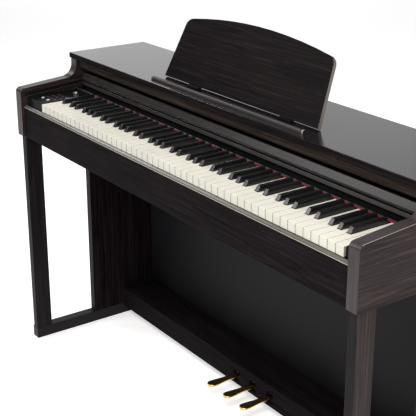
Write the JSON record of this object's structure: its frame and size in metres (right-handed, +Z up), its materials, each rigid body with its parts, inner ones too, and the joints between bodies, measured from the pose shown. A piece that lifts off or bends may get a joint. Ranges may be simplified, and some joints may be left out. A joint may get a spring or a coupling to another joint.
{
  "type": "digital piano on stand",
  "caption": "Console digital piano on a panel stand: hinged weighted keys, sliding key cover, folding music rest, control panel and pedals.",
  "frame": {"origin": "on the floor, under the centre of the bounding box", "axes": "+X along the keyboard towards the treble end, +Y from the player to the back, +Z up"},
  "size_m": [1.429, 0.432, 1.0298],
  "materials": {
    "rosewood": "satin laminate, dark rosewood grain",
    "gloss_rosewood": "semi-gloss laminate, dark rosewood grain",
    "panel_grey": "matt dark laminate",
    "raw_board": "bare particle board",
    "ivory": "satin warm white",
    "ebony": "satin black",
    "black_plastic": "fine texture",
    "grey_plastic": "satin",
    "red_felt": "wool felt",
    "steel": "zinc plated",
    "brass": "polished",
    "circuit": "printed circuit board",
    "rubber": "matt"
  },
  "bodies": {
    "cabinet": {"left_cheek": "rosewood", "right_cheek": "rosewood", "key_slip": "rosewood", "fascia": "rosewood", "music_ledge": "rosewood", "left_leg": "rosewood", "right_leg": "rosewood", "left_side_panel": "rosewood", "right_side_panel": "rosewood", "left_foot_rail": "rosewood", "right_foot_rail": "rosewood", "pedal_box": "rosewood", "top_board": "gloss_rosewood", "kick_board": "panel_grey", "rear_panel": "raw_board", "key_bed": "raw_board", "fall_strip": "black_plastic", "left_cover_track": "black_plastic", "right_cover_track": "black_plastic", "control_panel": "black_plastic", "right_key_block": "black_plastic", "left_rest_block": "black_plastic", "right_rest_block": "black_plastic", "left_speaker": "black_plastic", "right_speaker": "black_plastic", "power_inlet": "black_plastic", "key_felt": "red_felt", "key_frame": "steel", "pedal_frame": "steel", "main_board": "circuit"},
    "key_cover": {"cover_rail": "rosewood", "key_cover": "rosewood"},
    "music_rest": {"music_rest": "rosewood"},
    "rest_prop": {"rest_prop": "steel"},
    "volume_knob": {"volume_knob": "black_plastic"},
    "power_button": {"power_button": "grey_plastic"},
    "demo_button": {"demo_button": "grey_plastic"},
    "function_buttons_1": {"function_buttons_1": "grey_plastic"},
    "function_buttons_2": {"function_buttons_2": "grey_plastic"},
    "function_buttons_3": {"function_buttons_3": "grey_plastic"},
    "lower_naturals": {"lower_naturals": "ivory"},
    "lower_sharps": {"lower_sharps": "ebony"},
    "upper_naturals": {"upper_naturals": "ivory"},
    "upper_sharps": {"upper_sharps": "ebony"},
    "soft_pedal": {"soft_pedal": "brass"},
    "sostenuto_pedal": {"sostenuto_pedal": "brass"},
    "damper_pedal": {"damper_pedal": "brass"},
    "adjuster_foot": {"adjuster_foot": "rubber"},
    "key_c4": {"key_c4": "ivory"},
    "key_c_sharp4": {"key_c_sharp4": "ebony"},
    "key_d4": {"key_d4": "ivory"},
    "key_d_sharp4": {"key_d_sharp4": "ebony"},
    "key_e4": {"key_e4": "ivory"},
    "key_f4": {"key_f4": "ivory"},
    "key_f_sharp4": {"key_f_sharp4": "ebony"},
    "key_g4": {"key_g4": "ivory"},
    "key_g_sharp4": {"key_g_sharp4": "ebony"},
    "key_a4": {"key_a4": "ivory"},
    "key_a_sharp4": {"key_a_sharp4": "ebony"},
    "key_b4": {"key_b4": "ivory"}
  },
  "joints": [
    {"name": "cover_slide", "type": "slide", "parent": "cabinet", "child": "key_cover", "axis": [0, -0.9966, -0.0827], "range_m": [0, 0.182]},
    {"name": "rest_fold", "type": "hinge", "parent": "cabinet", "child": "music_rest", "pos_m": [0, 0.0319, 0.86368], "axis": [1, 0, 0], "range_deg": [-64, 0]},
    {"name": "prop_fold", "type": "hinge", "parent": "music_rest", "child": "rest_prop", "pos_m": [0.11, 0.06642, 0.92453], "axis": [1, 0, 0], "range_deg": [0, 118]},
    {"name": "lower_naturals_press", "type": "hinge", "parent": "cabinet", "child": "lower_naturals", "pos_m": [0, 0.03, 0.735], "axis": [1, 0, 0], "range_deg": [0, 2.5], "stiffness_Nm_per_rad": 25, "springref_deg": -12.61},
    {"name": "lower_sharps_press", "type": "hinge", "parent": "cabinet", "child": "lower_sharps", "pos_m": [0, 0.03, 0.735], "axis": [1, 0, 0], "range_deg": [0, 2.5], "stiffness_Nm_per_rad": 10, "springref_deg": -12.61},
    {"name": "upper_naturals_press", "type": "hinge", "parent": "cabinet", "child": "upper_naturals", "pos_m": [0, 0.03, 0.735], "axis": [1, 0, 0], "range_deg": [0, 2.5], "stiffness_Nm_per_rad": 24, "springref_deg": -12.61},
    {"name": "upper_sharps_press", "type": "hinge", "parent": "cabinet", "child": "upper_sharps", "pos_m": [0, 0.03, 0.735], "axis": [1, 0, 0], "range_deg": [0, 2.5], "stiffness_Nm_per_rad": 9.5, "springref_deg": -12.61},
    {"name": "key_c4_press", "type": "hinge", "parent": "cabinet", "child": "key_c4", "pos_m": [0, 0.03, 0.735], "axis": [1, 0, 0], "range_deg": [0, 2.5], "stiffness_Nm_per_rad": 1, "springref_deg": -12.61},
    {"name": "key_c_sharp4_press", "type": "hinge", "parent": "cabinet", "child": "key_c_sharp4", "pos_m": [0, 0.03, 0.735], "axis": [1, 0, 0], "range_deg": [0, 2.5], "stiffness_Nm_per_rad": 0.6, "springref_deg": -12.61},
    {"name": "key_d4_press", "type": "hinge", "parent": "cabinet", "child": "key_d4", "pos_m": [0, 0.03, 0.735], "axis": [1, 0, 0], "range_deg": [0, 2.5], "stiffness_Nm_per_rad": 1, "springref_deg": -12.61},
    {"name": "key_d_sharp4_press", "type": "hinge", "parent": "cabinet", "child": "key_d_sharp4", "pos_m": [0, 0.03, 0.735], "axis": [1, 0, 0], "range_deg": [0, 2.5], "stiffness_Nm_per_rad": 0.6, "springref_deg": -12.61},
    {"name": "key_e4_press", "type": "hinge", "parent": "cabinet", "child": "key_e4", "pos_m": [0, 0.03, 0.735], "axis": [1, 0, 0], "range_deg": [0, 2.5], "stiffness_Nm_per_rad": 1, "springref_deg": -12.61},
    {"name": "key_f4_press", "type": "hinge", "parent": "cabinet", "child": "key_f4", "pos_m": [0, 0.03, 0.735], "axis": [1, 0, 0], "range_deg": [0, 2.5], "stiffness_Nm_per_rad": 1, "springref_deg": -12.61},
    {"name": "key_f_sharp4_press", "type": "hinge", "parent": "cabinet", "child": "key_f_sharp4", "pos_m": [0, 0.03, 0.735], "axis": [1, 0, 0], "range_deg": [0, 2.5], "stiffness_Nm_per_rad": 0.6, "springref_deg": -12.61},
    {"name": "key_g4_press", "type": "hinge", "parent": "cabinet", "child": "key_g4", "pos_m": [0, 0.03, 0.735], "axis": [1, 0, 0], "range_deg": [0, 2.5], "stiffness_Nm_per_rad": 1, "springref_deg": -12.61},
    {"name": "key_g_sharp4_press", "type": "hinge", "parent": "cabinet", "child": "key_g_sharp4", "pos_m": [0, 0.03, 0.735], "axis": [1, 0, 0], "range_deg": [0, 2.5], "stiffness_Nm_per_rad": 0.6, "springref_deg": -12.61},
    {"name": "key_a4_press", "type": "hinge", "parent": "cabinet", "child": "key_a4", "pos_m": [0, 0.03, 0.735], "axis": [1, 0, 0], "range_deg": [0, 2.5], "stiffness_Nm_per_rad": 1, "springref_deg": -12.61},
    {"name": "key_a_sharp4_press", "type": "hinge", "parent": "cabinet", "child": "key_a_sharp4", "pos_m": [0, 0.03, 0.735], "axis": [1, 0, 0], "range_deg": [0, 2.5], "stiffness_Nm_per_rad": 0.6, "springref_deg": -12.61},
    {"name": "key_b4_press", "type": "hinge", "parent": "cabinet", "child": "key_b4", "pos_m": [0, 0.03, 0.735], "axis": [1, 0, 0], "range_deg": [0, 2.5], "stiffness_Nm_per_rad": 1, "springref_deg": -12.61},
    {"name": "volume_turn", "type": "hinge", "parent": "cabinet", "child": "volume_knob", "pos_m": [-0.589, -0.088, 0.765], "axis": [0, 0, 1], "range_deg": [-150, 150]},
    {"name": "power_button_press", "type": "slide", "parent": "cabinet", "child": "power_button", "axis": [0, 0, -1], "range_m": [0, 0.001], "stiffness_N_per_m": 300, "springref_m": -0.002},
    {"name": "demo_button_press", "type": "slide", "parent": "cabinet", "child": "demo_button", "axis": [0, 0, -1], "range_m": [0, 0.001], "stiffness_N_per_m": 300, "springref_m": -0.002},
    {"name": "function_buttons_1_press", "type": "slide", "parent": "cabinet", "child": "function_buttons_1", "axis": [0, 0, -1], "range_m": [0, 0.001], "stiffness_N_per_m": 400, "springref_m": -0.002},
    {"name": "function_buttons_2_press", "type": "slide", "parent": "cabinet", "child": "function_buttons_2", "axis": [0, 0, -1], "range_m": [0, 0.001], "stiffness_N_per_m": 400, "springref_m": -0.002},
    {"name": "function_buttons_3_press", "type": "slide", "parent": "cabinet", "child": "function_buttons_3", "axis": [0, 0, -1], "range_m": [0, 0.001], "stiffness_N_per_m": 400, "springref_m": -0.002},
    {"name": "soft_pedal_press", "type": "hinge", "parent": "cabinet", "child": "soft_pedal", "pos_m": [-0.072, 0.176, 0.054], "axis": [1, 0, 0], "range_deg": [0, 5], "stiffness_Nm_per_rad": 12, "springref_deg": -6.88},
    {"name": "sostenuto_pedal_press", "type": "hinge", "parent": "cabinet", "child": "sostenuto_pedal", "pos_m": [0, 0.176, 0.054], "axis": [1, 0, 0], "range_deg": [0, 5], "stiffness_Nm_per_rad": 12, "springref_deg": -6.88},
    {"name": "damper_pedal_press", "type": "hinge", "parent": "cabinet", "child": "damper_pedal", "pos_m": [0.072, 0.176, 0.054], "axis": [1, 0, 0], "range_deg": [0, 5], "stiffness_Nm_per_rad": 12, "springref_deg": -6.88},
    {"name": "adjuster_screw", "type": "slide", "parent": "cabinet", "child": "adjuster_foot", "axis": [0, 0, 1], "range_m": [-0.001, 0.004]}
  ],
  "couplings": [
    {"joint": "prop_fold", "follows": "rest_fold", "ratio": -1.83}
  ]
}
